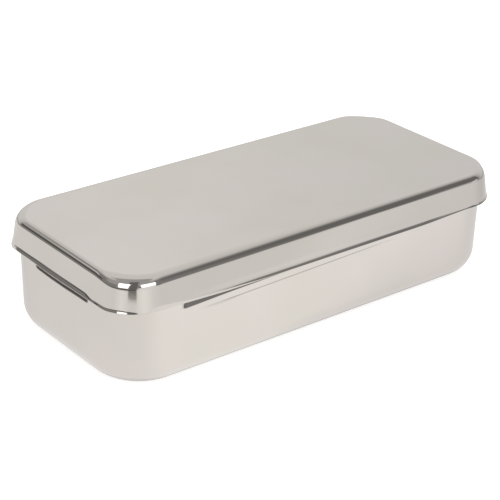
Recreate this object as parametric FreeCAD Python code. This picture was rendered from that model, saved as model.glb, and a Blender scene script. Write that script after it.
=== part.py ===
"""Instrument box of polished stainless sheet: a drawn tray and the drawn lid that fits over it.

The long side runs along X, the short side along Y, and the tray stands on Z = 0 with its centre
on the Z axis. All lengths are in millimetres.
"""
import FreeCAD
import Part
import math
import os

# Overall sizes, taken over the lip of the lid.
BOX_LENGTH = 200.0
BOX_WIDTH = 92.6
BOX_HEIGHT = 48.0
SHEET = 0.7

# The lid: a flat top, a rounded top edge, a skirt that opens downwards and a short flared lip.
LID_CORNER_RADIUS = 20.0
LID_EDGE_RADIUS = 4.0
SKIRT_HEIGHT = 13.3
SKIRT_DRAFT = 9.0
LIP_HEIGHT = 2.4
LIP_FLARE_ANGLE = 28.0
LIP_STEPS = 3

# The tray: steep walls, wide corners and a deep bottom radius.
CORNER_EASE = 3.5
TRAY_BOTTOM_RADIUS = 10.2
TRAY_DRAFT = 1.0

# The neck that the lid slides over, and the seat panels pressed into the four sides below it.
NECK_CLEARANCE = 0.5
NECK_CORNER_EASE = 2.4
SHOULDER_DEPTH = 1.5
SHOULDER_DROP = 2.0
NECK_ABOVE_RIM = 0.2
SEAT_BELOW_RIM = 2.3
SEAT_CORNER_RADIUS = 3.2
SEAT_END_MARGIN = 2.5
MOUTH_CLEARANCE_SHARE = 0.6

# Heights that both parts share.
RIM_HEIGHT = BOX_HEIGHT - SKIRT_HEIGHT
SPRING_HEIGHT = BOX_HEIGHT - LID_EDGE_RADIUS
NECK_FOOT = RIM_HEIGHT + NECK_ABOVE_RIM
SEAT_FOOT = RIM_HEIGHT - SEAT_BELOW_RIM

# A cutting form runs past the sheet by this much, so that it leaves no skin behind.
OVERRUN = 2.0


def rounded_outline(half_length, half_width, corner_radius, height):
    """Closed outline with four straight sides and four round corners, at one height."""
    straight_x = half_length - corner_radius
    straight_y = half_width - corner_radius
    edges = []
    for turn, (side_x, side_y) in enumerate([(1, 1), (-1, 1), (-1, -1), (1, -1)]):
        centre = FreeCAD.Vector(side_x * straight_x, side_y * straight_y, height)
        spokes = []
        for share in (0.0, 0.5, 1.0):
            angle = math.radians(90.0 * (turn + share))
            reach = FreeCAD.Vector(math.cos(angle), math.sin(angle), 0.0)
            spokes.append(centre + reach * corner_radius)
        edges.append((spokes[0], Part.Arc(*spokes).toShape(), spokes[2]))
    path = []
    for here, following in zip(edges, edges[1:] + edges[:1]):
        path.append(here[1])
        path.append(Part.makeLine(here[2], following[0]))
    return Part.Wire(path)


def drawn_form(outlines):
    """Solid that runs straight from each outline to the next."""
    return Part.makeLoft(outlines, True, True)


def edges_at(solid, height):
    """Edges of a solid that lie flat at one height."""
    level = []
    for edge in solid.Edges:
        if abs(edge.BoundBox.ZMin - height) < 1e-6 and abs(edge.BoundBox.ZMax - height) < 1e-6:
            level.append(edge)
    return level


def lid_inset(height):
    """How far the outside of the skirt stands in from the lip, at one height."""
    above = height - RIM_HEIGHT
    draft = math.tan(math.radians(SKIRT_DRAFT))
    flare = math.tan(math.radians(LIP_FLARE_ANGLE))
    bend = (flare - draft) / (2.0 * LIP_HEIGHT)
    in_lip = min(above, LIP_HEIGHT)
    return flare * in_lip - bend * in_lip ** 2 + draft * (above - in_lip)


def lid_outline(height, wall):
    """Outline of the lid at one height, moved inwards by the given wall."""
    inset = lid_inset(height) + wall
    return rounded_outline(
        BOX_LENGTH / 2.0 - inset,
        BOX_WIDTH / 2.0 - inset,
        LID_CORNER_RADIUS - inset,
        height,
    )


def make_lid():
    """Lid with an even sheet: the outer drawn form less the same form moved inwards."""
    lip_levels = [RIM_HEIGHT + LIP_HEIGHT * step / LIP_STEPS for step in range(LIP_STEPS + 1)]
    outer_levels = lip_levels + [BOX_HEIGHT]
    outer = drawn_form([lid_outline(height, 0.0) for height in outer_levels])
    outer = outer.makeFillet(LID_EDGE_RADIUS, edges_at(outer, BOX_HEIGHT))

    ceiling = BOX_HEIGHT - SHEET
    below = lid_outline(RIM_HEIGHT, SHEET)
    below.translate(FreeCAD.Vector(0.0, 0.0, -OVERRUN))
    inner_outlines = [below] + [lid_outline(height, SHEET) for height in lip_levels + [ceiling]]
    hollow = drawn_form(inner_outlines)
    hollow = hollow.makeFillet(LID_EDGE_RADIUS - SHEET, edges_at(hollow, ceiling))

    return outer.cut(hollow)


# The neck stands clear inside the lid where the skirt is narrowest, just below the rounded edge.
NECK_INSET = lid_inset(SPRING_HEIGHT) + SHEET + NECK_CLEARANCE
NECK_HALF_LENGTH = BOX_LENGTH / 2.0 - NECK_INSET
NECK_HALF_WIDTH = BOX_WIDTH / 2.0 - NECK_INSET
NECK_CORNER_RADIUS = LID_CORNER_RADIUS - NECK_INSET + NECK_CORNER_EASE

# Below the shoulder the wall stands out again, with a wider corner than the lid's.
WALL_HALF_LENGTH = NECK_HALF_LENGTH + SHOULDER_DEPTH
WALL_HALF_WIDTH = NECK_HALF_WIDTH + SHOULDER_DEPTH
WALL_CORNER_RADIUS = LID_CORNER_RADIUS + CORNER_EASE

# The lid is stopped where the mouth meets the inside of its rounded edge, and the mouth ends
# under that place by a share of the neck's clearance.
INNER_EDGE_RADIUS = LID_EDGE_RADIUS - SHEET
MOUTH_REACH = INNER_EDGE_RADIUS - NECK_CLEARANCE * MOUTH_CLEARANCE_SHARE
MOUTH_RUN = INNER_EDGE_RADIUS / math.cos(math.radians(SKIRT_DRAFT)) - NECK_CLEARANCE
MOUTH_HEIGHT = SPRING_HEIGHT + math.sqrt(MOUTH_REACH ** 2 - MOUTH_RUN ** 2)

# Moving the sloping shoulder inwards by the sheet lowers it by this much at the moved walls.
SHOULDER_SLANT = math.hypot(SHOULDER_DEPTH, SHOULDER_DROP)
SHOULDER_SHIFT = SHEET * (SHOULDER_SLANT - SHOULDER_DROP) / SHOULDER_DEPTH


def wall_outline(height, wall):
    """Outline of the tray below its shoulder, moved inwards by the given wall."""
    inset = (NECK_FOOT - height) * math.tan(math.radians(TRAY_DRAFT)) + wall
    return rounded_outline(
        WALL_HALF_LENGTH - inset,
        WALL_HALF_WIDTH - inset,
        WALL_CORNER_RADIUS - inset,
        height,
    )


def neck_outline(height, wall):
    """Outline of the tray's neck, moved inwards by the given wall."""
    return rounded_outline(
        NECK_HALF_LENGTH - wall,
        NECK_HALF_WIDTH - wall,
        NECK_CORNER_RADIUS - wall,
        height,
    )


def panel_outline(out, half_length, foot, head, corner_radius):
    """Upright outline at one distance out from the centre: square above, round corners below."""
    def point(along, height):
        return FreeCAD.Vector(along, -out, height)

    slant = corner_radius * (1.0 - math.sqrt(0.5))
    left_arc = Part.Arc(
        point(-half_length, foot + corner_radius),
        point(-half_length + slant, foot + slant),
        point(-half_length + corner_radius, foot),
    )
    right_arc = Part.Arc(
        point(half_length - corner_radius, foot),
        point(half_length - slant, foot + slant),
        point(half_length, foot + corner_radius),
    )
    return Part.Wire([
        Part.makeLine(point(-half_length, head), point(-half_length, foot + corner_radius)),
        left_arc.toShape(),
        Part.makeLine(point(-half_length + corner_radius, foot), point(half_length - corner_radius, foot)),
        right_arc.toShape(),
        Part.makeLine(point(half_length, foot + corner_radius), point(half_length, head)),
        Part.makeLine(point(half_length, head), point(-half_length, head)),
    ])


def seat_panel(wall_half, straight_half, wall):
    """Form that presses one seat panel into a side: it slopes in from its ends and its foot."""
    shift = 0.0 if wall == 0.0 else SHOULDER_SHIFT
    slope = SHOULDER_DROP / SHOULDER_DEPTH
    head = NECK_FOOT + SHOULDER_DROP - shift

    def outline(out):
        grown = shift + (out - (wall_half - wall)) * slope
        radius = max(SEAT_CORNER_RADIUS + grown, SHEET / 2.0)
        return panel_outline(out, straight_half - SEAT_END_MARGIN + grown, SEAT_FOOT - grown, head, radius)

    return drawn_form([outline(wall_half - SHOULDER_DEPTH - wall), outline(wall_half + OVERRUN)])


def seat_panels(wall):
    """The four seat panels, long sides first, moved inwards by the given wall."""
    long_side = seat_panel(WALL_HALF_WIDTH, WALL_HALF_LENGTH - WALL_CORNER_RADIUS, wall)
    short_side = seat_panel(WALL_HALF_LENGTH, WALL_HALF_WIDTH - WALL_CORNER_RADIUS, wall)
    centre = FreeCAD.Vector(0.0, 0.0, 0.0)
    upright = FreeCAD.Vector(0.0, 0.0, 1.0)
    panels = []
    for quarter, panel in enumerate([long_side, short_side, long_side, short_side]):
        turned = panel.copy()
        turned.rotate(centre, upright, 90.0 * quarter)
        panels.append(turned)
    return panels


def tray_form(wall, floor, mouth):
    """Solid that fills the tray's skin, moved inwards by the given wall."""
    shift = 0.0 if wall == 0.0 else SHOULDER_SHIFT
    form = drawn_form([
        wall_outline(floor, wall),
        wall_outline(NECK_FOOT - shift, wall),
        neck_outline(NECK_FOOT + SHOULDER_DROP - shift, wall),
        neck_outline(mouth, wall),
    ])
    form = form.makeFillet(TRAY_BOTTOM_RADIUS - wall, edges_at(form, floor))
    return form.cut(seat_panels(wall))


def make_tray():
    """Tray with an even sheet: the outer form less the same form moved inwards."""
    outer = tray_form(0.0, 0.0, MOUTH_HEIGHT)
    hollow = tray_form(SHEET, SHEET, MOUTH_HEIGHT + OVERRUN)
    return outer.cut(hollow).removeSplitter()


def write(name, shape):
    """Check one part and write it under its own name."""
    solid = shape.Solids[0]
    if len(shape.Solids) != 1 or not solid.isValid():
        raise ValueError(name + " is not one sound solid")
    solid.exportStep("parts/" + name + ".step")
    box = solid.BoundBox
    print(name, "volume", round(solid.Volume), "mm3, box", [
        round(value, 2) for value in (box.XMin, box.YMin, box.ZMin, box.XMax, box.YMax, box.ZMax)
    ])


os.makedirs("parts", exist_ok=True)
print("rim at", RIM_HEIGHT, "mouth at", round(MOUTH_HEIGHT, 2), "neck corner", round(NECK_CORNER_RADIUS, 2))
write("tray", make_tray())
write("lid", make_lid())
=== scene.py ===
# %% [markdown]
# # An instrument box of polished stainless sheet
#
# The real object is two pieces of thin sheet, each drawn over a form: a tray with deep round
# corners, and a lid that slides down over the tray's neck. Nothing is screwed, hinged or
# welded, so all of its character is in three things: the section of the sheet, the small
# press marks round the seam, and the way a mirror finish picks up the room.
#
# This notebook follows the same order. It draws each section, carries it round a rounded
# rectangle, presses the marks in, and then builds the room that the steel reflects.

# %% Load the frame and keep its size
import math

import bmesh
import bpy
from mathutils import Matrix, Vector, noise


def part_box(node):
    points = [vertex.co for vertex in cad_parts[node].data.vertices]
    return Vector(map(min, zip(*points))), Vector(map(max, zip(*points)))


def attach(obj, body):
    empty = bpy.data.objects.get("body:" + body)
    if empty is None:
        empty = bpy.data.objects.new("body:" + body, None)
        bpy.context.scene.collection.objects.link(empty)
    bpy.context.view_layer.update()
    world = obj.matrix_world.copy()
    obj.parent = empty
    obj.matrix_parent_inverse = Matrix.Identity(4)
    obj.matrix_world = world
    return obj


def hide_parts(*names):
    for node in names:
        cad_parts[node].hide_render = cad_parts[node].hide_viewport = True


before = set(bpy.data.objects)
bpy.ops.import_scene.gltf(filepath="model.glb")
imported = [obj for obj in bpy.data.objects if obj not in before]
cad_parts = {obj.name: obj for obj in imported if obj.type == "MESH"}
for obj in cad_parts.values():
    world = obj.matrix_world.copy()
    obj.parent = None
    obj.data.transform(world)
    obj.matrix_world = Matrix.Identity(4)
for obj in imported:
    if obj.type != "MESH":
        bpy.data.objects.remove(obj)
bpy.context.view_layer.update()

# %% [markdown]
# ## Sizes
#
# Lengths are in metres, because the frame is. The outer sizes are read from the frame, so
# that the dressed pieces can't drift from it. The rest are the sizes of the drawn form: they
# could be read off the frame's mesh too, but a section written from its radii and angles can
# be made as smooth as a mirror finish needs, and the frame's flat facets can't.

# %% Sizes of the box
MM = 0.001
lid_low, lid_high = (Vector(corner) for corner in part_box("lid"))
tray_high = Vector(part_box("tray")[1])

BOX_LENGTH = lid_high.x - lid_low.x
BOX_WIDTH = lid_high.y - lid_low.y
BOX_TOP = lid_high.z
RIM = lid_low.z
MOUTH = tray_high.z
SHEET = 0.7 * MM
CUT_EDGE = 0.15 * MM

print("box", [round(size / MM, 2) for size in (BOX_LENGTH, BOX_WIDTH, BOX_TOP, RIM, MOUTH)], "mm")

# %% [markdown]
# ## Drawing a section
#
# A section is the line that a saw cut through the sheet would show: how far out the surface
# stands, and how high, from one side of the sheet round its edge to the other. Arcs are
# worked out from a centre and a radius. Straight runs get points of their own, because a
# mirror shows every long triangle, and because the press marks need points to move.

# %% Helpers for a section
CUT_STEPS = 4


def arc(centre, radius, start, end, steps):
    """Points (out, height) on an arc. Angles are in degrees, 0 outwards and 90 up."""
    points = []
    for step in range(steps + 1):
        angle = math.radians(start + (end - start) * step / steps)
        points.append((centre[0] + radius * math.cos(angle), centre[1] + radius * math.sin(angle)))
    return points


def straight(start, end, steps):
    """Points between two places, without the places themselves."""
    points = []
    for step in range(1, steps):
        share = step / steps
        points.append((start[0] + (end[0] - start[0]) * share, start[1] + (end[1] - start[1]) * share))
    return points


# %% [markdown]
# ## The lid's section
#
# The lid has a flat top, a rounded top edge, a skirt that opens downwards by a few degrees so
# that it comes off the form, and a short lip that flares at the rim. The flare is small, but
# it turns the reflection up from the white table to the dark of the room, and that is the
# dark line which runs round the box above the seam.

# %% Section of the lid
LID_CORNER = 20.0 * MM
LID_EDGE = 4.0 * MM
SKIRT_DRAFT = math.radians(9.0)
LIP_HEIGHT = 2.4 * MM
LIP_FLARE = math.radians(28.0)
TOP_MARGIN = 6.0 * MM
TOP_STEPS = 6
EDGE_STEPS = 26
SKIRT_STEPS = 14
LIP_STEPS = 16


def lid_inset(height):
    """How far the outside of the skirt stands in from the rim, at one height."""
    above = height - RIM
    draft = math.tan(SKIRT_DRAFT)
    bend = (math.tan(LIP_FLARE) - draft) / (2.0 * LIP_HEIGHT)
    in_lip = min(above, LIP_HEIGHT)
    return math.tan(LIP_FLARE) * in_lip - bend * in_lip ** 2 + draft * (above - in_lip)


def lid_face(wall):
    """One face of the lid, moved inwards by the wall, from the middle of its top to the rim."""
    radius = LID_EDGE - wall
    height = BOX_TOP - LID_EDGE
    centre = (-lid_inset(height) - wall - radius / math.cos(SKIRT_DRAFT), height)
    edge = arc(centre, radius, 90.0, math.degrees(SKIRT_DRAFT), EDGE_STEPS)
    points = [(centre[0] - TOP_MARGIN, BOX_TOP - wall)]
    points += straight(points[0], edge[0], TOP_STEPS) + edge
    skirt_foot = (-lid_inset(RIM + LIP_HEIGHT) - wall, RIM + LIP_HEIGHT)
    points += straight(edge[-1], skirt_foot, SKIRT_STEPS)
    for step in range(LIP_STEPS, 0, -1):
        height = RIM + CUT_EDGE + (LIP_HEIGHT - CUT_EDGE) * step / LIP_STEPS
        points.append((-lid_inset(height) - wall, height))
    return points


def lid_section():
    """The whole section of the lid: outside, the dressed edge of the rim, inside."""
    outer_edge = -lid_inset(RIM + CUT_EDGE)
    cut = arc((outer_edge - CUT_EDGE, RIM + CUT_EDGE), CUT_EDGE, 0.0, -90.0, CUT_STEPS)
    cut += arc((outer_edge - SHEET + CUT_EDGE, RIM + CUT_EDGE), CUT_EDGE, -90.0, -180.0, CUT_STEPS)
    return lid_face(0.0) + cut + lid_face(SHEET)[::-1]


print("lid section has", len(lid_section()), "points")

# %% [markdown]
# ## The tray's section
#
# The tray is a steep wall with a deep bottom radius, and its corners are a little wider than
# the lid's. The section here is the plain wall, carried straight up to the mouth: the neck
# and the seat panels are pressed into it further on, as they are in the workshop, where the
# seam is the last thing to be formed.

# %% Section of the tray
TRAY_BOTTOM_RADIUS = 10.2 * MM
TRAY_DRAFT = math.radians(1.0)
NECK_CLEARANCE = 0.5 * MM
SHOULDER_DEPTH = 1.5 * MM
SHOULDER_DROP = 2.0 * MM
NECK_FOOT = RIM + 0.2 * MM
SEAM_BOTTOM = NECK_FOOT - 5.5 * MM
SEAM_TOP = NECK_FOOT + SHOULDER_DROP + 0.5 * MM
FLOOR_MARGIN = 6.0 * MM
FLOOR_STEPS = 5
BOTTOM_STEPS = 22
WALL_STEPS = 12
OUTER_SEAM_STEPS = 40
INNER_SEAM_STEPS = 16
MOUTH_STEPS = 5


def wall_out(height, wall):
    """Where the wall stands at one height, from its outline at the neck's foot."""
    return -max(NECK_FOOT - height, 0.0) * math.tan(TRAY_DRAFT) - wall


def tray_face(wall, seam_steps):
    """One face of the tray, moved inwards by the wall, from the middle of its floor to the mouth."""
    radius = TRAY_BOTTOM_RADIUS - wall
    foot_height = wall + radius * (1.0 - math.sin(TRAY_DRAFT))
    centre = (wall_out(foot_height, wall) - radius * math.cos(TRAY_DRAFT), wall + radius)
    bottom = arc(centre, radius, -90.0, -math.degrees(TRAY_DRAFT), BOTTOM_STEPS)
    points = [(centre[0] - FLOOR_MARGIN, wall)]
    points += straight(points[0], bottom[0], FLOOR_STEPS) + bottom
    seam_foot = (wall_out(SEAM_BOTTOM, wall), SEAM_BOTTOM)
    points += straight(bottom[-1], seam_foot, WALL_STEPS)
    for step in range(seam_steps + 1):
        height = SEAM_BOTTOM + (SEAM_TOP - SEAM_BOTTOM) * step / seam_steps
        points.append((wall_out(height, wall), height))
    mouth_side = (-wall, MOUTH - CUT_EDGE)
    return points + straight(points[-1], mouth_side, MOUTH_STEPS) + [mouth_side]


def tray_section():
    """The whole section of the tray: outside, the dressed edge of the mouth, inside."""
    cut = arc((-CUT_EDGE, MOUTH - CUT_EDGE), CUT_EDGE, 0.0, 90.0, CUT_STEPS)[1:]
    cut += arc((-SHEET + CUT_EDGE, MOUTH - CUT_EDGE), CUT_EDGE, 90.0, 180.0, CUT_STEPS)[:-1]
    return tray_face(0.0, OUTER_SEAM_STEPS) + cut + tray_face(SHEET, INNER_SEAM_STEPS)[::-1]


print("tray section has", len(tray_section()), "points")

# %% [markdown]
# ## Carrying a section round the outline
#
# Both pieces follow one rule: the same section all the way round a rounded rectangle. That
# is a sweep, and Geometry Nodes say it in five steps: a rectangle, its corners filleted,
# points spread evenly along it, the section carried round, and a material. The sizes are
# named inputs, so the tree serves the lid and the tray alike. A lathe-like spin or a bevelled
# box would need its corners made apart, and the joints would show as kinks in the mirror.

# %% Geometry Nodes: the drawn shell
def drawn_shell_tree():
    """A tree that carries the section it is given round a rounded rectangle."""
    tree = bpy.data.node_groups.new("drawn_shell", "GeometryNodeTree")
    tree.interface.new_socket("Section", in_out="INPUT", socket_type="NodeSocketGeometry")
    for name in ("Outline Length", "Outline Width", "Corner Radius", "Point Spacing"):
        tree.interface.new_socket(name, in_out="INPUT", socket_type="NodeSocketFloat")
    tree.interface.new_socket("Corner Steps", in_out="INPUT", socket_type="NodeSocketInt")
    tree.interface.new_socket("Finish", in_out="INPUT", socket_type="NodeSocketMaterial")
    tree.interface.new_socket("Shell", in_out="OUTPUT", socket_type="NodeSocketGeometry")

    def node(kind):
        return tree.nodes.new("GeometryNode" + kind)

    given = tree.nodes.new("NodeGroupInput").outputs
    rectangle = node("CurvePrimitiveQuadrilateral")
    fillet = node("FilletCurve")
    fillet.mode = "POLY"
    spread = node("ResampleCurve")
    spread.mode = "LENGTH"
    sweep = node("CurveToMesh")
    smooth_faces = node("SetShadeSmooth")
    realize = node("RealizeInstances")
    finish = node("SetMaterial")
    result = tree.nodes.new("NodeGroupOutput")

    for source, target in (
        (given["Outline Length"], rectangle.inputs["Width"]),
        (given["Outline Width"], rectangle.inputs["Height"]),
        (rectangle.outputs["Curve"], fillet.inputs["Curve"]),
        (given["Corner Radius"], fillet.inputs["Radius"]),
        (given["Corner Steps"], fillet.inputs["Count"]),
        (fillet.outputs["Curve"], spread.inputs["Curve"]),
        (given["Point Spacing"], spread.inputs["Length"]),
        (spread.outputs["Curve"], sweep.inputs["Curve"]),
        (given["Section"], sweep.inputs["Profile Curve"]),
        (sweep.outputs["Mesh"], smooth_faces.inputs["Geometry"]),
        (smooth_faces.outputs["Geometry"], realize.inputs["Geometry"]),
        (realize.outputs["Geometry"], finish.inputs["Geometry"]),
        (given["Finish"], finish.inputs["Material"]),
        (finish.outputs["Geometry"], result.inputs["Shell"]),
    ):
        tree.links.new(source, target)
    return tree


DRAWN_SHELL = drawn_shell_tree()
print("tree inputs", [item.name for item in DRAWN_SHELL.interface.items_tree if item.in_out == "INPUT"])

# %% Run the tree on a section
POINT_SPACING = 0.84 * MM
CORNER_STEPS = 72


def section_curve(name, points):
    """A section as a curve. The sweep lays a curve's x outwards and its y downwards."""
    curve = bpy.data.curves.new(name, "CURVE")
    curve.dimensions = "3D"
    spline = curve.splines.new("POLY")
    spline.points.add(len(points) - 1)
    for point, (out, height) in zip(spline.points, points):
        point.co = (out, -height, 0.0, 1.0)
    holder = bpy.data.objects.new(name, curve)
    bpy.context.scene.collection.objects.link(holder)
    return holder


def swept_mesh(name, points, length, width, corner, finish):
    """The section carried round its outline, as a plain mesh without its modifier."""
    holder = section_curve(name + "_section", points)
    modifier = holder.modifiers.new("drawn_shell", "NODES")
    modifier.node_group = DRAWN_SHELL
    sizes = {
        "Outline Length": length,
        "Outline Width": width,
        "Corner Radius": corner,
        "Point Spacing": POINT_SPACING,
        "Corner Steps": CORNER_STEPS,
        "Finish": finish,
    }
    for item in DRAWN_SHELL.interface.items_tree:
        if item.name in sizes:
            modifier[item.identifier] = sizes[item.name]
    bpy.context.view_layer.update()
    depsgraph = bpy.context.evaluated_depsgraph_get()
    mesh = bpy.data.meshes.new_from_object(holder.evaluated_get(depsgraph), depsgraph=depsgraph)
    bpy.data.objects.remove(holder)
    return mesh


# %% Turn a section into a closed piece of sheet
def close_flats(mesh):
    """Fill the two open ends of the sweep, which are the flats, and face everything outwards."""
    shell = bmesh.new()
    shell.from_mesh(mesh)
    open_edges = [edge for edge in shell.edges if edge.is_boundary]
    flats = bmesh.ops.holes_fill(shell, edges=open_edges, sides=0)["faces"]
    for face in flats:
        face.smooth = True
    bmesh.ops.recalc_face_normals(shell, faces=shell.faces)
    shell.to_mesh(mesh)
    still_open = sum(edge.is_boundary for edge in shell.edges)
    shell.free()
    print(mesh.name, len(mesh.polygons), "faces,", len(flats), "flats closed,", still_open, "open edges")


def draw_shell(name, points, length, width, corner, finish):
    """Sweep a section round its outline and close it into one piece."""
    mesh = swept_mesh(name, points, length, width, corner, finish)
    mesh.name = name
    close_flats(mesh)
    piece = bpy.data.objects.new(name, mesh)
    bpy.context.scene.collection.objects.link(piece)
    return piece


# %% [markdown]
# ## Polished steel
#
# Polished stainless is a mirror with a past. Under the lamp it shows three scales of
# unevenness: the sheet is very slightly wavy from being drawn, the polishing mop leaves hair
# fine lines, and handling leaves small patches that are a shade duller. The colour is a warm
# grey that drifts a little between green and pink. A texture picture could paint this, but
# procedural noise keeps its scale on any part of the surface, and it has no seam where the
# sheet turns a corner.
#
# The steel, the room and the table are all small networks of nodes, so they share a few
# helpers, each for one kind of step.

# %% Helpers for shader nodes
def feed(socket, value):
    """Link a socket to another one, or set it. A number on a colour socket makes a grey."""
    if isinstance(value, bpy.types.NodeSocket):
        socket.id_data.links.new(value, socket)
    elif socket.type == "RGBA" and isinstance(value, float):
        socket.default_value = (value, value, value, 1.0)
    else:
        socket.default_value = value


def add_node(tree, kind, inputs=None, **settings):
    """Add a node with its settings, feed its inputs and give back its outputs."""
    node = tree.nodes.new("ShaderNode" + kind)
    for name, value in settings.items():
        setattr(node, name, value)
    for socket, value in (inputs or {}).items():
        feed(node.inputs[socket], value)
    return node.outputs


def maths(tree, operation, first, second=0.0):
    """One step of arithmetic on numbers."""
    return add_node(tree, "Math", {0: first, 1: second}, operation=operation)["Value"]


def vectors(tree, operation, first, second=(0.0, 0.0, 0.0)):
    """One step of arithmetic on vectors. Its outputs are a Vector and a Value."""
    return add_node(tree, "VectorMath", {0: first, 1: second}, operation=operation)


def span(tree, value, low, high, start=0.0, end=1.0, shape="LINEAR"):
    """Carry a value from one range to another, and hold it at the ends."""
    ends = {"Value": value, "From Min": low, "From Max": high, "To Min": start, "To Max": end}
    return add_node(tree, "MapRange", ends, interpolation_type=shape)["Result"]


def blend(tree, factor, first, second, kind="FLOAT", way="MIX"):
    """Mix two numbers or two colours by a factor."""
    parts = {"Factor": factor, "A": first, "B": second}
    return add_node(tree, "Mix", parts, data_type=kind, blend_type=way)["Result"]


# %% Noise and tint of the steel
LID_COLOUR = (0.655, 0.622, 0.582)
TRAY_COLOUR = (0.715, 0.674, 0.634)
GREEN_TINT = (0.97, 0.975, 0.945)
PINK_TINT = (1.025, 1.005, 1.02)
MIRROR_ROUGHNESS = 0.07
SMEAR_SHARES = (0.8, 1.15)
MOP_STRETCH = (0.03, 1.0, 1.0)
MOP_ROUGHNESS = (-0.012, 0.018)
MOP_DEPTH = 0.004 * MM
MOP_STRENGTH = 0.25
BUMP_HEIGHT = 0.08 * MM

# Each noise is given by its scale and its detail, and used between the same two values.
TINT_CLOUDS = (22.0, 3.0)
SMEAR_CLOUDS = (34.0, 5.0)
MOP_CLOUDS = (900.0, 2.0)
BUMP_CLOUDS = (30.0, 1.0)
NOISE_RANGE = (0.3, 0.7)


def clouds(tree, place, scale, detail, stretch=(1.0, 1.0, 1.0)):
    """Soft noise, stretched along the axes."""
    stretched = add_node(tree, "Mapping", {"Vector": place, "Scale": stretch})["Vector"]
    return add_node(tree, "TexNoise", {"Vector": stretched, "Scale": scale, "Detail": detail})["Fac"]


def tinted(colour, tint):
    """A colour multiplied by a tint, as a shader takes it."""
    return (*[part * share for part, share in zip(colour, tint)], 1.0)


# %% Material: polished steel
def polished_steel(name, colour):
    """Mirror polish with mop lines along the box, in the piece's own coordinates."""
    material = bpy.data.materials.new(name)
    material.use_nodes = True
    tree = material.node_tree
    shader = tree.nodes["Principled BSDF"].inputs
    shader["Metallic"].default_value = 1.0
    place = add_node(tree, "TexCoord")["Object"]

    patches = span(tree, clouds(tree, place, *TINT_CLOUDS), *NOISE_RANGE)
    green, pink = tinted(colour, GREEN_TINT), tinted(colour, PINK_TINT)
    feed(shader["Base Color"], blend(tree, patches, green, pink, "RGBA"))

    mop_lines = clouds(tree, place, *MOP_CLOUDS, MOP_STRETCH)
    smears = clouds(tree, place, *SMEAR_CLOUDS)
    dullness = [MIRROR_ROUGHNESS * share for share in SMEAR_SHARES]
    dull = span(tree, smears, *NOISE_RANGE, *dullness)
    lined = span(tree, mop_lines, *NOISE_RANGE, *MOP_ROUGHNESS)
    feed(shader["Roughness"], maths(tree, "ADD", dull, lined))

    sheet = {"Strength": 1.0, "Distance": BUMP_HEIGHT, "Height": clouds(tree, place, *BUMP_CLOUDS)}
    waves = add_node(tree, "Bump", sheet)["Normal"]
    hairs = {"Strength": MOP_STRENGTH, "Distance": MOP_DEPTH, "Height": mop_lines, "Normal": waves}
    feed(shader["Normal"], add_node(tree, "Bump", hairs)["Normal"])
    return material


lid_steel = polished_steel("lid_polish", LID_COLOUR)
tray_steel = polished_steel("tray_polish", TRAY_COLOUR)
print("materials", lid_steel.name, tray_steel.name)

# %% [markdown]
# ## The two shells
#
# With the tree and the sections ready, each piece is one call. The wall of the tray stands
# further out than its neck, and the neck clears the inside of the lid where the skirt is
# narrowest, just under the rounded edge.

# %% Sweep the lid and the tray
NECK_INSET = lid_inset(BOX_TOP - LID_EDGE) + SHEET + NECK_CLEARANCE
WALL_INSET = NECK_INSET - SHOULDER_DEPTH
CORNER_EASE = 3.5 * MM
WALL_CORNER = LID_CORNER + CORNER_EASE
WALL_LENGTH = BOX_LENGTH - 2.0 * WALL_INSET
WALL_WIDTH = BOX_WIDTH - 2.0 * WALL_INSET

lid = draw_shell("lid_shell", lid_section(), BOX_LENGTH, BOX_WIDTH, LID_CORNER, lid_steel)
tray = draw_shell("tray_shell", tray_section(), WALL_LENGTH, WALL_WIDTH, WALL_CORNER, tray_steel)

# %% [markdown]
# ## Moving points of the sheet
#
# From here on the sheet is shaped as a press and hand tools shape it: each point of the mesh
# moves out of the wall or into it, and sometimes up or down, by a distance that depends on
# where it is. The outside and the inside of the sheet move alike, as real sheet does, and only
# the top edge is eased from the outside alone. A boolean would cut the same shapes but leave
# hard edges and long thin faces.
#
# Marks that change along a side are written with one soft step, from nothing to all, between
# two named places.

# %% Helpers for moving points
def smooth(low, high, value):
    """0 below low, 1 above high and a soft S between them."""
    share = min(max((value - low) / (high - low), 0.0), 1.0)
    return share * share * (3.0 - 2.0 * share)


def towards(value, target, share):
    """A value, moved by a share of the way to its target."""
    return value + (target - value) * share


def from_core(place, straight_half):
    """Plan vector from the rectangle between the corners' centres to a place on the wall."""
    core = Vector((
        min(max(place.x, -straight_half.x), straight_half.x),
        min(max(place.y, -straight_half.y), straight_half.y),
    ))
    return place.xy - core


def away(place, straight_half):
    """Unit direction straight out of the wall at a place."""
    return from_core(place, straight_half).normalized()


def push_out(vertex, direction, distance):
    """Move a point straight out of the wall, or into it by a distance below zero."""
    vertex.co.x += direction.x * distance
    vertex.co.y += direction.y * distance


def along_side(place):
    """Place along a long side. It grows to the right, seen from outside."""
    return place.x if place.y < 0.0 else -place.x


def corner_turn(out):
    """Turn of the outline in degrees: 0 on a short side, 90 on a long one."""
    return math.degrees(math.atan2(abs(out.y), abs(out.x)))


# %% [markdown]
# ## Pressing the neck and the seat panels
#
# The lid slides over a neck that stands in from the wall by about two sheets. On the four
# straight sides the step is pressed lower, in a panel with rounded ends, and what shows of a
# panel under the lid's rim is a dark slot. The press was set a little askew: the long slots
# are open at the left end of the box and run in under the rim towards the right. A faint
# crease follows the foot of each long panel, as the edge of a die would leave it.

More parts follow.
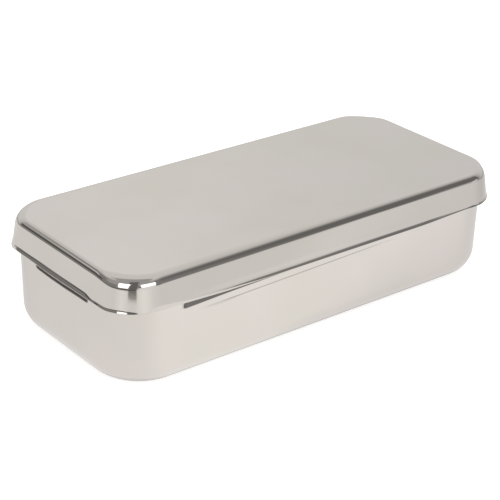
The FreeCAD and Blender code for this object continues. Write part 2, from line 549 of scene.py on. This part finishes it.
# %% Sizes of the press
NECK_CORNER_EASE = 2.4 * MM
SEAT_MIDDLE = RIM - 1.85 * MM
SEAT_CLIMB = 0.0225
SEAT_CORNER = 2.2 * MM
LONG_END_MARGIN = 2.5 * MM
SHORT_END_MARGIN = 1.5 * MM
SHORT_SEAT_SHIFT = 3.0 * MM
SHORT_SEAT_FOOT = RIM - 3.1 * MM
SHORT_SEAT_BOW = 0.35 * MM
SHORT_SEAT_BOW_PLACES = (3.0 * MM, 18.0 * MM)
PRESS_RUN = 2.9 * MM
PRESS_BLEND = 0.2
CREASE_DEPTH = 0.17 * MM
CREASE_BELOW = (-2.5 * MM, -1.9 * MM)
CREASE_START = (-74.0 * MM, -44.0 * MM)
CREASE_END = (20.0 * MM, 50.0 * MM)
FLAT_SIDE = 1e-4
TRAY_STRAIGHT = Vector((WALL_LENGTH / 2.0 - WALL_CORNER, WALL_WIDTH / 2.0 - WALL_CORNER))
NECK_CORNER = LID_CORNER - NECK_INSET + NECK_CORNER_EASE
CORNER_SHIFT = WALL_CORNER - SHOULDER_DEPTH - NECK_CORNER
print("neck corner", round(NECK_CORNER / MM, 2), "mm, against the wall's", round(WALL_CORNER / MM, 2))

# %% Depth of the press
def slope_up(low, high, value):
    """0 below low, 1 above high and a straight slope between them, with short round ends."""
    share = min(max((value - low) / (high - low), 0.0), 1.0)
    near = min(share, 1.0 - share)
    steep = 1.0 / (1.0 - PRESS_BLEND)
    if near < PRESS_BLEND:
        rise = steep * near * near / (2.0 * PRESS_BLEND)
    else:
        rise = steep * (near - PRESS_BLEND / 2.0)
    return rise if share < 0.5 else 1.0 - rise


def neck_depth(out):
    """How far the neck stands in: less at the corners, where its outline is squarer."""
    return SHOULDER_DEPTH - CORNER_SHIFT * (abs(out.x) + abs(out.y) - 1.0)


def panel_reach(place, out):
    """How far a place lies inside a seat panel's outline, or below zero outside it."""
    if abs(out.y) > abs(out.x):
        from_end = abs(place.x) - (TRAY_STRAIGHT.x - LONG_END_MARGIN - SEAT_CORNER)
        foot = SEAT_MIDDLE + SEAT_CLIMB * place.x
    else:
        shift = SHORT_SEAT_SHIFT if place.x < 0.0 else -SHORT_SEAT_SHIFT
        from_end = abs(place.y + shift) - (TRAY_STRAIGHT.y - SHORT_END_MARGIN - SEAT_CORNER)
        foot = SHORT_SEAT_FOOT + SHORT_SEAT_BOW * smooth(*SHORT_SEAT_BOW_PLACES, abs(place.y))
    from_foot = foot + SEAT_CORNER - place.z
    beyond = math.hypot(max(from_end, 0.0), max(from_foot, 0.0))
    return SEAT_CORNER - beyond - min(max(from_end, from_foot), 0.0)


def crease_depth(place, out, reach):
    """Depth of the faint crease under a long panel, which fades at both ends."""
    along = along_side(place)
    crease = CREASE_DEPTH * smooth(*CREASE_BELOW, reach) * abs(out.y)
    return crease * smooth(*CREASE_START, along) * (1.0 - smooth(*CREASE_END, along))


def press_depth(place, out):
    """Depth of the press at one place on the tray's wall."""
    neck = neck_depth(out) * slope_up(NECK_FOOT, NECK_FOOT + SHOULDER_DROP, place.z)
    if min(abs(out.x), abs(out.y)) > FLAT_SIDE:
        return neck
    reach = panel_reach(place, out)
    return max(neck, SHOULDER_DEPTH * slope_up(0.0, PRESS_RUN, reach), crease_depth(place, out, reach))


# %% Press the tray
deepest = 0.0
for vertex in tray.data.vertices:
    if vertex.co.z < SEAM_BOTTOM:
        continue
    direction = away(vertex.co, TRAY_STRAIGHT)
    depth = press_depth(vertex.co, direction)
    push_out(vertex, direction, -depth)
    deepest = max(deepest, depth)
tray.data.update()
print("deepest press", round(deepest / MM, 2), "mm")

# %% [markdown]
# ## Easing the top edge
#
# A drawn lid doesn't have one edge radius. The sheet bunches at the corners, so the edge comes
# out rounder there, and it comes out tighter on the short sides and a little tighter towards
# the right end of the long ones. The highlights on the corner grow with the radius, which is
# how a photograph of such a lid gives it away. Each point of the outside keeps its share of
# the section and moves to the section with the radius of its place.

# %% Edge radius round the lid
LID_STRAIGHT = Vector((BOX_LENGTH / 2.0 - LID_CORNER, BOX_WIDTH / 2.0 - LID_CORNER))
TIGHT_EDGE = 3.2 * MM
ROUND_EDGE = 5.2 * MM
LONG_EDGE = 4.0 * MM
EDGE_GROWTH = -0.006
TIGHT_TURN = (0.0, 28.0)
ROUND_TURN_START = (8.0, 40.0)
ROUND_TURN_END = (50.0, 84.0)


def edge_radius(place, out):
    """Radius of the top edge at one place round the lid."""
    turn = corner_turn(out)
    tight = 1.0 - smooth(*TIGHT_TURN, turn)
    wide = smooth(*ROUND_TURN_START, turn) * (1.0 - smooth(*ROUND_TURN_END, turn))
    side = LONG_EDGE + EDGE_GROWTH * place.x
    return side + (TIGHT_EDGE - side) * tight + (ROUND_EDGE - side) * wide


middle = Vector((0.0, 0.0, BOX_TOP))
for name, out in (("short side", (1, 0)), ("corner", (0.7071, 0.7071)), ("long side", (0, 1))):
    print("edge radius on the", name, round(edge_radius(middle, Vector(out)) / MM, 2), "mm")

# %% Ease the edge
ON_SURFACE = 0.02 * MM


def edge_centre(radius):
    """Centre of the top edge's round, as (out, height), for one radius."""
    height = BOX_TOP - radius
    return -lid_inset(height) - radius / math.cos(SKIRT_DRAFT), height


def edge_end(radius):
    """Height at which the top edge runs into the skirt."""
    return BOX_TOP - radius * (1.0 - math.sin(SKIRT_DRAFT))


def eased(out, height, radius):
    """New place in the section of a point on the lid's outside. Other points stay."""
    old_out, old_height = edge_centre(LID_EDGE)
    new_out, new_height = edge_centre(radius)
    reach = math.hypot(out - old_out, height - old_height)
    if abs(height - BOX_TOP) < ON_SURFACE and out < old_out:
        share = (out - (old_out - TOP_MARGIN)) / TOP_MARGIN
        return new_out - (1.0 - share) * (TOP_MARGIN + new_out - old_out), height
    if abs(reach - LID_EDGE) < ON_SURFACE and height > edge_end(LID_EDGE) - ON_SURFACE:
        scale = radius / LID_EDGE
        return new_out + (out - old_out) * scale, new_height + (height - old_height) * scale
    foot = RIM + LIP_HEIGHT
    if height > foot and abs(out + lid_inset(height)) < ON_SURFACE:
        share = (height - foot) / (edge_end(LID_EDGE) - foot)
        height = towards(foot, edge_end(radius), share)
        return -lid_inset(height), height
    return out, height


for vertex in lid.data.vertices:
    across = from_core(vertex.co, LID_STRAIGHT)
    direction = across.normalized()
    out = across.length - LID_CORNER
    new_out, new_height = eased(out, vertex.co.z, edge_radius(vertex.co, direction))
    push_out(vertex, direction, new_out - out)
    vertex.co.z = new_height
lid.data.update()
print("eased the edge of", lid.name)

# %% [markdown]
# ## Waves in the sheet
#
# Thin drawn sheet is never quite flat. The waves are a few hundredths of a millimetre high and
# a couple of centimetres long: too small to see in the outline, but a mirror makes every
# straight reflection wander by them. They are real here, in the mesh, and both faces of the
# sheet follow them. The top, the floor, the seam and the lip have none.

# %% Waves on the walls
WAVE_HEIGHT = 0.035 * MM
WAVE_LENGTH = 26.0 * MM
WAVE_RISE = 4.0 * MM
WAVE_FADE = 2.0 * MM
WAVES_ABOVE_FLOOR = 4.0 * MM
TRAY_SEED = 3.3
LID_SEED = 7.9


def wave(place, seed):
    """Height of the sheet's waves at one place."""
    return WAVE_HEIGHT * noise.noise(place / WAVE_LENGTH + Vector((seed, seed, 0.0)))


for piece, straight_half, foot, head, seed in (
    (tray, TRAY_STRAIGHT, WAVES_ABOVE_FLOOR, SEAM_BOTTOM, TRAY_SEED),
    (lid, LID_STRAIGHT, RIM + LIP_HEIGHT, BOX_TOP - LID_EDGE, LID_SEED),
):
    for vertex in piece.data.vertices:
        rises = smooth(foot, foot + WAVE_RISE, vertex.co.z)
        strength = rises * (1.0 - smooth(head, head + WAVE_FADE, vertex.co.z))
        if strength > 0.0:
            direction = away(vertex.co, straight_half)
            push_out(vertex, direction, wave(vertex.co, seed) * strength)
    piece.data.update()
print("waves of", round(WAVE_HEIGHT / MM, 3), "mm on both pieces")

# %% [markdown]
# ## Turning the lip
#
# The lip is turned out by hand tools after the drawing, and it isn't even. On the short sides
# it is tall and starts steeply. On the long sides it is low, and towards the left end it fades
# out and the rim keeps an upright land instead. The rim also sags a little in the middle of
# each side. A mirror shows all of this as a line that swells, thins and breaks off.
#
# So the lip is turned here point by point, from four measures that change along the rim: how
# strong the flare is, its slope, how much steeper it starts, and how tall the land under it is.

# %% The lip along a long side
LIP_GROWS = (-78.0 * MM, -20.0 * MM)
LIP_SWELLS = (-32.0 * MM, 30.0 * MM)
SWELL_SHARE = 0.2
LIP_FADES = (52.0 * MM, 76.0 * MM)
FADE_SHARE = 0.5
LIP_RETURNS = (76.0 * MM, 82.0 * MM)
RETURN_SHARE = 0.35
LONG_LIP_SLOPE = (0.27, 0.31, 0.44)
SLOPE_RISES = (-10.0 * MM, 40.0 * MM)
SLOPE_RISES_AGAIN = (60.0 * MM, 78.0 * MM)
LAND_HEIGHT = 0.95 * MM
LAND_ENDS = (-70.0 * MM, -16.0 * MM)
TALL_LAND_HEIGHT = 1.2 * MM
TALL_LAND_ENDS = (-84.0 * MM, -66.0 * MM)


def long_lip(along):
    """Strength of the flare, its slope and the land's height at one place along a long side."""
    grows = smooth(*LIP_GROWS, along) * (1.0 - SWELL_SHARE * (1.0 - smooth(*LIP_SWELLS, along)))
    fades = 1.0 - FADE_SHARE * smooth(*LIP_FADES, along) + RETURN_SHARE * smooth(*LIP_RETURNS, along)
    start, middle, end = LONG_LIP_SLOPE
    slope = towards(start, middle, smooth(*SLOPE_RISES, along))
    slope = towards(slope, end, smooth(*SLOPE_RISES_AGAIN, along))
    land = LAND_HEIGHT * (1.0 - smooth(*LAND_ENDS, along))
    land += TALL_LAND_HEIGHT * (1.0 - smooth(*TALL_LAND_ENDS, along))
    return grows * fades, slope, land


print("lip slopes along a long side", [round(long_lip(place * MM)[1], 3) for place in (-80, 0, 80)])

# %% The lip round the rim
SHORT_LIP_TURN = (36.0, 72.0)
SHORT_LIP_SLOPE = 0.155
STEEP_START = 2.0
LAND_TURN = (56.0, 82.0)
LOW_LIP_ACROSS = (-26.5 * MM, -21.0 * MM)
LOW_LIP_ALONG = (-95.0 * MM, -84.0 * MM)
LOW_LIP_LOSS = 0.35
LOW_LIP_SLOPE = 0.28
FAR_LIP_ACROSS = (8.0 * MM, 20.0 * MM)
FAR_LIP_LOSS = 0.1


def lip_shape(place, out):
    """Strength of the flare, its slope, its steeper start and the land's height, at one place."""
    along = along_side(place)
    across = place.y if place.x < 0.0 else -place.y
    turn = corner_turn(out)
    short_side = 1.0 - smooth(*SHORT_LIP_TURN, turn)
    low = (1.0 - smooth(*LOW_LIP_ACROSS, across)) * (1.0 - smooth(*LOW_LIP_ALONG, along))
    far = smooth(*FAR_LIP_ACROSS, across) * short_side

    strength, slope, land = long_lip(along)
    strength = towards(strength, 1.0, short_side)
    strength *= (1.0 - LOW_LIP_LOSS * low) * (1.0 - FAR_LIP_LOSS * far)
    slope = towards(towards(slope, SHORT_LIP_SLOPE, short_side), LOW_LIP_SLOPE, low)
    steep = STEEP_START * short_side * (1.0 - low)
    return strength, slope, steep, land * smooth(*LAND_TURN, turn)


for name, place in (("long", (0.0, -BOX_WIDTH / 2.0)), ("short", (-BOX_LENGTH / 2.0, 0.0))):
    place = Vector((*place, RIM))
    strength, slope, steep, land = lip_shape(place, away(place, LID_STRAIGHT))
    print("middle of a", name, "side: lip strength", round(strength, 2), "and slope", round(slope, 3))

# %% Section of the turned lip, and the height of the rim
LIP_OUT = (math.tan(LIP_FLARE) - math.tan(SKIRT_DRAFT)) * LIP_HEIGHT / 2.0
LIP_STEP = 0.4 * MM
LIP_BEND = 0.42 * MM
LONG_RIM = (-0.8 * MM, -0.1 * MM)
LONG_RIM_PLACES = (48.0 * MM, 78.0 * MM)
SHORT_RIM = (0.3 * MM, 0.65 * MM)
SHORT_RIM_PLACES = (2.0 * MM, 18.0 * MM)
CORNER_RIM = -0.3 * MM
CORNER_RIM_SHARES = (0.15, 0.75)


def turned_inset(above, strength, slope, steep, land):
    """How far the turned lip stands in from the rim of the frame."""
    top = land + strength * LIP_OUT / slope - steep * LIP_STEP
    below_top = top + LIP_BEND - max(above, land)
    if below_top < 0.0:
        run = 0.0
    elif below_top < 2.0 * LIP_BEND:
        run = below_top ** 2 / (4.0 * LIP_BEND)
    else:
        run = below_top - LIP_BEND
    flare = slope * (run + steep * min(run, LIP_STEP))
    return LIP_OUT + math.tan(SKIRT_DRAFT) * max(above, land) - flare


def rim_lift(place, out):
    """How far the rim is raised at one place: it sags in the middle of each side."""
    if abs(out.y) > abs(out.x):
        lift = towards(*LONG_RIM, smooth(*LONG_RIM_PLACES, abs(place.x)))
    else:
        lift = towards(*SHORT_RIM, smooth(*SHORT_RIM_PLACES, abs(place.y)))
    return towards(lift, CORNER_RIM, smooth(*CORNER_RIM_SHARES, 2.0 * abs(out.x * out.y)))


print("lip stands out", round(LIP_OUT / MM, 3), "mm")

# %% Turn the lip
LIP_ZONE = 3.6 * MM

for vertex in lid.data.vertices:
    above = vertex.co.z - RIM
    if above > LIP_ZONE:
        continue
    direction = away(vertex.co, LID_STRAIGHT)
    inset = turned_inset(above, *lip_shape(vertex.co, direction))
    push_out(vertex, direction, lid_inset(vertex.co.z) - inset)
    vertex.co.z += rim_lift(vertex.co, direction) * (1.0 - smooth(0.0, LIP_ZONE, above))
lid.data.update()
print("lowest point of the rim", round(min(vertex.co.z for vertex in lid.data.vertices) / MM, 2), "mm")

# %% [markdown]
# ## Fit the pieces to the frame
#
# Each shell stands for one solid of the frame and rides on its body, and the solid is hidden.

# %% Ride and replace
for piece, body, node_name, slot_name in (
    (tray, "tray", "tray", "tray_steel"),
    (lid, "lid", "lid", "lid_steel"),
):
    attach(piece, body)
    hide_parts(node_name)
    print(piece.name, "rides on", body, "and takes", slot_name)

# %% [markdown]
# ## The room
#
# A mirror has no look of its own, so the room is half of the material. The steel shows a white
# table from below, pale light from above, and a dark band at eye height, where a studio has no
# lamps. The band gives the dark lines along the rim and the top edge. Two soft boxes beside
# the camera give the paired highlights on the front corner, and the dark shape between them is
# the camera's own place.
#
# Lamps made as objects would light the box too, but each is only a bright rectangle to a
# mirror. Here the whole room is one world shader: a base of dome and band, and on it a list of
# soft-edged cards. Each is given by where it is seen from the box, how large it looks and how
# light it is: turn, height, width, height of the card and soft edge in degrees, then light.

# %% Cards of the room
CARDS = {
    "dark_side": (-34.0, 24.0, 38.0, 36.0, 12.0, 0.18),
    "dark_ceiling": (-134.0, 62.0, 54.0, 50.0, 8.0, 0.44),
    "left_dark": (137.0, 15.0, 40.0, 15.0, 5.0, 0.1),
    "left_wall": (-166.0, 38.0, 40.0, 26.0, 12.0, 0.44),
    "spill_over_right_box": (-98.0, 38.0, 34.0, 22.0, 10.0, 0.46),
    "upper_backdrop": (46.0, 43.0, 36.0, 22.0, 8.0, 0.86),
    "backdrop_glow": (57.0, 28.0, 14.0, 14.0, 18.0, 0.95),
    "low_front_light": (-52.0, -2.0, 26.0, 8.0, 5.0, 0.66),
    "low_right_light": (-36.0, 1.0, 22.0, 18.0, 5.0, 0.8),
    "left_beam": (118.0, 38.0, 26.0, 5.0, 3.0, 0.2),
    "left_window": (129.0, 29.0, 17.0, 8.0, 3.0, 0.75),
    "camera_place": (-131.0, 28.0, 16.0, 68.0, 3.0, 0.17),
    "white_card": (-99.0, 0.0, 42.0, 17.0, 3.0, 1.0),
    "left_soft_box": (-152.5, 25.0, 22.5, 35.0, 1.5, 2.3),
    "right_soft_box": (-95.0, 23.0, 34.0, 26.0, 2.0, 2.3),
}


def pointing(turn, lift):
    """Unit direction from the box, by its turn round Z and its height in degrees."""
    turn, lift = math.radians(turn), math.radians(lift)
    return Vector((math.cos(turn) * math.cos(lift), math.sin(turn) * math.cos(lift), math.sin(lift)))


def sideways(turn):
    """Level unit direction at a right angle to a turn, with the turn growing towards it."""
    turn = math.radians(turn)
    return Vector((-math.sin(turn), math.cos(turn), 0.0))


def room_card(tree, direction, behind, turn, lift, wide, tall, soft, light):
    """Lay one soft-edged card over what is behind it."""
    middle, side = pointing(turn, lift), sideways(turn)
    ahead = vectors(tree, "DOT_PRODUCT", direction, middle)["Value"]
    cover = maths(tree, "GREATER_THAN", ahead, 0.0)
    for axis, size in ((side, wide), (middle.cross(side), tall)):
        reach = vectors(tree, "DOT_PRODUCT", direction, axis)["Value"]
        offset = maths(tree, "ABSOLUTE", maths(tree, "DIVIDE", reach, ahead))
        inner = math.tan(math.radians((size - soft) / 2.0))
        outer = math.tan(math.radians((size + soft) / 2.0))
        cover = maths(tree, "MULTIPLY", cover, span(tree, offset, inner, outer, 1.0, 0.0, "SMOOTHSTEP"))
    return blend(tree, cover, behind, light)


print("cards", ", ".join(CARDS))

# %% World shader
DOME_LIGHT = 0.82
BAND_LIGHT = 0.27
BAND_HEAD = (42.0, 62.0)
BACKDROP_LIGHT = 0.79
BACKDROP_TURN = 54.0
BACKDROP_EDGES = (0.1, 0.95)
WHITE = (1.0, 1.0, 1.0, 1.0)


def studio_world():
    """White to the camera; to the steel, a dome with a dark band and the cards before it."""
    world = bpy.data.worlds.new("studio")
    world.use_nodes = True
    tree = world.node_tree
    background = tree.nodes["Background"].inputs
    background["Color"].default_value = WHITE
    direction = add_node(tree, "TexCoord")["Generated"]
    height = vectors(tree, "DOT_PRODUCT", direction, (0.0, 0.0, 1.0))["Value"]
    level = vectors(tree, "MULTIPLY", direction, (1.0, 1.0, 0.0))["Vector"]
    heading = vectors(tree, "NORMALIZE", level)["Vector"]
    facing = vectors(tree, "DOT_PRODUCT", heading, pointing(BACKDROP_TURN, 0.0))["Value"]

    backdrop = span(tree, facing, *BACKDROP_EDGES, shape="SMOOTHSTEP")
    head = [math.sin(math.radians(angle)) for angle in BAND_HEAD]
    dome = span(tree, height, *head, shape="SMOOTHSTEP")
    light = blend(tree, dome, blend(tree, backdrop, BAND_LIGHT, BACKDROP_LIGHT), DOME_LIGHT)
    for card in CARDS.values():
        light = room_card(tree, direction, light, *card)

    seen = add_node(tree, "LightPath")["Is Camera Ray"]
    feed(background["Strength"], blend(tree, seen, light, 1.0))
    return world


bpy.context.scene.world = studio_world()
bpy.context.scene.view_settings.view_transform = "Standard"
print("world nodes", len(bpy.context.scene.world.node_tree.nodes))

# %% [markdown]
# ## The table
#
# The camera sees the table as plain white with a light shadow. The steel sees more of it than
# the camera does, and what it sees is painted light: a glow with no colour of its own, painted
# with two fans of light from the soft boxes, and fading towards the back and the far left. The
# fans are the pale upright stripes on the front corner.
#
# So the table's glow is painted in rings of light round the box, and each ring is a ramp by
# direction, measured in degrees from the front left corner. Each ring fades into the next
# further out, and the one at the camera's distance has a painted dark patch for the foot of the
# camera in it.

# %% Painted rings of light on the table
# Painted light in the table's glow: each stop is a direction in degrees and a light.
NEAR_PAINTED_LIGHT = (
    (-180, 0.90), (-120, 0.93), (-90, 1.03), (-45, 1.03), (-25, 1.0), (-13, 0.87),
    (0, 0.79), (30, 0.80), (106, 0.78), (122, 0.86), (160, 0.89), (180, 0.90),
)
LEFT_FAN_OF_PAINTED_LIGHT = ((-180, 0.91), (-170, 0.89), (-161, 0.98), (-153, 1.06))
PAINTED_LIGHT_BETWEEN_FANS = ((-143, 0.97), (-135, 0.91), (-127, 0.92), (-119, 1.02))
# A painted dark patch in the glow where the camera's foot stands.
PAINTED_CAMERA_FOOT_DARK = ((-142, 0.97), (-139, 0.23), (-124, 0.23), (-121, 1.0))
RIGHT_FAN_OF_PAINTED_LIGHT = (
    (-108, 1.10), (-98, 1.04), (-88, 0.94), (-70, 0.87), (-49, 0.87), (-42, 0.93), (-35, 0.87),
    (-26, 0.83), (-8, 0.70), (60, 0.77), (115, 0.89), (130, 0.90), (180, 0.91),
)
OUTER_PAINTED_LIGHT = (
    (-180, 0.13), (-124, 0.13), (-121, 0.9), (-110, 1.0), (-80, 0.92), (-60, 0.84), (-34, 0.80),
    (-22, 0.5), (60, 0.5), (80, 0.5), (104, 0.4), (116, 0.25), (180, 0.2),
)
PAINTED_LIGHT_RINGS = (
    ((90.0 * MM, 150.0 * MM), LEFT_FAN_OF_PAINTED_LIGHT + PAINTED_LIGHT_BETWEEN_FANS + RIGHT_FAN_OF_PAINTED_LIGHT),
    ((264.0 * MM, 266.0 * MM), LEFT_FAN_OF_PAINTED_LIGHT + PAINTED_CAMERA_FOOT_DARK + RIGHT_FAN_OF_PAINTED_LIGHT),
    ((330.0 * MM, 370.0 * MM), OUTER_PAINTED_LIGHT),
)


def painted_light_ring(tree, heading, stops):
    """Painted light by direction: a ramp with one stop for each angle in degrees."""
    node = tree.nodes.new("ShaderNodeValToRGB")
    ends = node.color_ramp.elements
    for angle, light in stops:
        share = (angle + 180.0) / 360.0
        stop = ends[0] if share == 0.0 else ends[-1] if share == 1.0 else ends.new(share)
        stop.color = (light, light, light, 1.0)
    feed(node.inputs["Fac"], heading)
    return node.outputs["Color"]


print("rings", 1 + len(PAINTED_LIGHT_RINGS))

# %% White table, with painted light for the steel
TABLE_SIZE = 6.0
TABLE_COLOUR = 0.86
TABLE_GLOW = 0.62
TABLE_ROUGHNESS = 0.9
# Painted shadow under the box: the glow that the steel sees darkens between these distances.
PAINTED_SHADOW_UNDER_BOX = (13.0 * MM, 21.0 * MM)
PAINTED_SHADOW_LIGHT = 0.3


def table_with_painted_light():
    """White with a light shadow to the camera; to the steel, a glow of painted light and shadow."""
    material = bpy.data.materials.new("table_with_painted_light")
    material.use_nodes = True
    tree = material.node_tree
    shader = tree.nodes["Principled BSDF"].inputs
    shader["Roughness"].default_value = TABLE_ROUGHNESS
    shader["Specular IOR Level"].default_value = 0.0
    shader["Emission Strength"].default_value = 1.0
    place = add_node(tree, "TexCoord")["Object"]

    from_corner = vectors(tree, "ADD", place, (*TRAY_STRAIGHT, 0.0))["Vector"]
    parts = add_node(tree, "SeparateXYZ", {"Vector": from_corner})
    heading = span(tree, maths(tree, "ARCTAN2", parts["Y"], parts["X"]), -math.pi, math.pi)
    beside = vectors(tree, "SUBTRACT", vectors(tree, "ABSOLUTE", place)["Vector"], (*TRAY_STRAIGHT, 0.0))
    distance = vectors(tree, "LENGTH", vectors(tree, "MAXIMUM", beside["Vector"])["Vector"])["Value"]

    # To the steel the table is painted light: rings of glow by direction, blended by distance.
    light = painted_light_ring(tree, heading, NEAR_PAINTED_LIGHT)
    for places, stops in PAINTED_LIGHT_RINGS:
        further_painted_light = painted_light_ring(tree, heading, stops)
        light = blend(tree, span(tree, distance, *places), light, further_painted_light, "RGBA")
    # Painted shadow: the glow darkens under the box's edge, and only the steel sees it.
    painted_shadow = span(tree, distance, *PAINTED_SHADOW_UNDER_BOX, PAINTED_SHADOW_LIGHT, 1.0)
    mirrored = add_node(tree, "LightPath")["Is Glossy Ray"]
    painted_light_and_shadow = blend(tree, 1.0, light, painted_shadow, "RGBA", "MULTIPLY")
    # Glossy rays see no colour, only the painted glow; the camera sees white with an even glow.
    feed(shader["Base Color"], blend(tree, mirrored, TABLE_COLOUR, 0.0, "RGBA"))
    feed(shader["Emission Color"], blend(tree, mirrored, TABLE_GLOW, painted_light_and_shadow, "RGBA"))
    return material


def lay_table():
    """A large flat square under the box. It is stage, not part of the object."""
    half = TABLE_SIZE / 2.0
    corners = [(-half, -half, 0.0), (half, -half, 0.0), (half, half, 0.0), (-half, half, 0.0)]
    mesh = bpy.data.meshes.new("table")
    mesh.from_pydata(corners, [], [(0, 1, 2, 3)])
    mesh.materials.append(table_with_painted_light())
    table = bpy.data.objects.new("table", mesh)
    bpy.context.scene.collection.objects.link(table)


lay_table()
print("table", TABLE_SIZE, "m wide")

# %% [markdown]
# ## The overhead lamp
#
# One wide soft box hangs over the camera's side of the table. It gives the soft shadow round
# the foot of the box. The steel doesn't mirror it, because the dome above already stands for it.

# %% Overhead soft box
LAMP_DISTANCE = 1.5
LAMP_SIZE = 1.2
LAMP_LIGHT = 1.1
LAMP_TURN = -60.0
LAMP_LIFT = 76.0


def overhead_lamp():
    """The soft box that lights the table. It isn't mirrored."""
    lamp = bpy.data.lights.new("overhead_soft_box", "AREA")
    lamp.shape = "SQUARE"
    lamp.size = LAMP_SIZE
    lamp.energy = math.pi * LAMP_LIGHT * LAMP_SIZE ** 2
    direction = pointing(LAMP_TURN, LAMP_LIFT)
    holder = bpy.data.objects.new("overhead_soft_box", lamp)
    holder.location = direction * LAMP_DISTANCE
    holder.rotation_euler = direction.to_track_quat("Z", "Y").to_euler()
    holder.visible_camera = False
    holder.visible_glossy = False
    bpy.context.scene.collection.objects.link(holder)
    return lamp


soft_box = overhead_lamp()
print("lamp", round(soft_box.energy, 2), "W")

# %% [markdown]
# ## The camera
#
# The photograph was taken from the front left and a little above, with a long lens. The
# place, the turn and the lens come from fitting the lid's outline, and the small roll is part
# of it.

# %% Camera
CAMERA_TURN = -128.676
CAMERA_LIFT = 25.696
CAMERA_ROLL = math.radians(1.398)
CAMERA_DISTANCE = 654.97 * MM
CAMERA_ASIDE = -3.423 * MM
CAMERA_RAISE = -4.855 * MM
CLIP_START = 10.0 * MM
LENS = 112.24
SENSOR = 36.0


def place_camera():
    """Camera at the fitted place, turned towards the middle of the box and rolled."""
    back, right = pointing(CAMERA_TURN, CAMERA_LIFT), sideways(CAMERA_TURN)
    up = back.cross(right)
    rolled_right = right * math.cos(CAMERA_ROLL) + up * math.sin(CAMERA_ROLL)
    rolled_up = up * math.cos(CAMERA_ROLL) - right * math.sin(CAMERA_ROLL)
    middle = Vector((0.0, 0.0, BOX_TOP / 2.0))
    place = middle + right * CAMERA_ASIDE + up * CAMERA_RAISE + back * CAMERA_DISTANCE
    data = bpy.data.cameras.new("camera")
    data.lens = LENS
    data.sensor_width = SENSOR
    data.clip_start = CLIP_START
    camera = bpy.data.objects.new("camera", data)
    bpy.context.scene.collection.objects.link(camera)
    turned = Matrix((rolled_right, rolled_up, back)).transposed().to_4x4()
    camera.matrix_world = Matrix.Translation(place) @ turned
    bpy.context.scene.camera = camera
    return place


camera_spot = place_camera()
print("camera at", [round(part, 3) for part in camera_spot])
